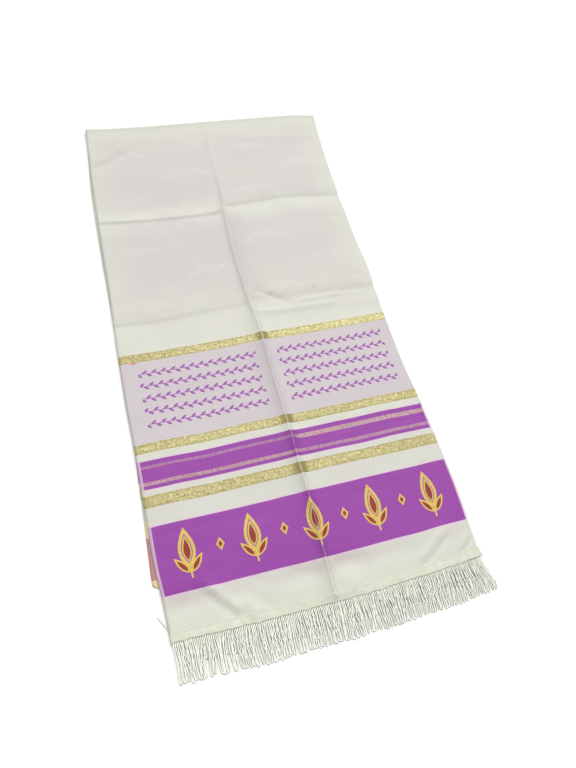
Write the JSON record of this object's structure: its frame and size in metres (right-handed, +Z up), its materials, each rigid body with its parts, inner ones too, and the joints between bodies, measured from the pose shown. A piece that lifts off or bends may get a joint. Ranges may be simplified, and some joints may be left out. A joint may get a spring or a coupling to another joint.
{
  "type": "folded fringed prayer shawl",
  "caption": "Long woven satin prayer shawl with a looped fringe at each end, folded in half end to end and laid flat, with storage creases.",
  "frame": {"origin": "on the surface that the shawl lies on, under the middle of the whole folded shawl", "axes": "+X across the cloth to its right selvedge, +Y along it from the fringes to the fold, +Z up out of the face"},
  "size_m": [0.4865, 0.9923, 0.012],
  "materials": {
    "satin_face": "ivory satin weave with purple, gold and lilac bands",
    "satin_back": "duller reverse of the satin, with the bands' floats",
    "fringe_yarn": "twisted lustrous ivory yarn on a woven heading"
  },
  "bodies": {
    "root": {"cloth_upper_half": "satin_face", "cloth_under_half": "satin_back", "fringe_upper_end": "fringe_yarn", "fringe_under_end": "fringe_yarn"}
  },
  "joints": []
}
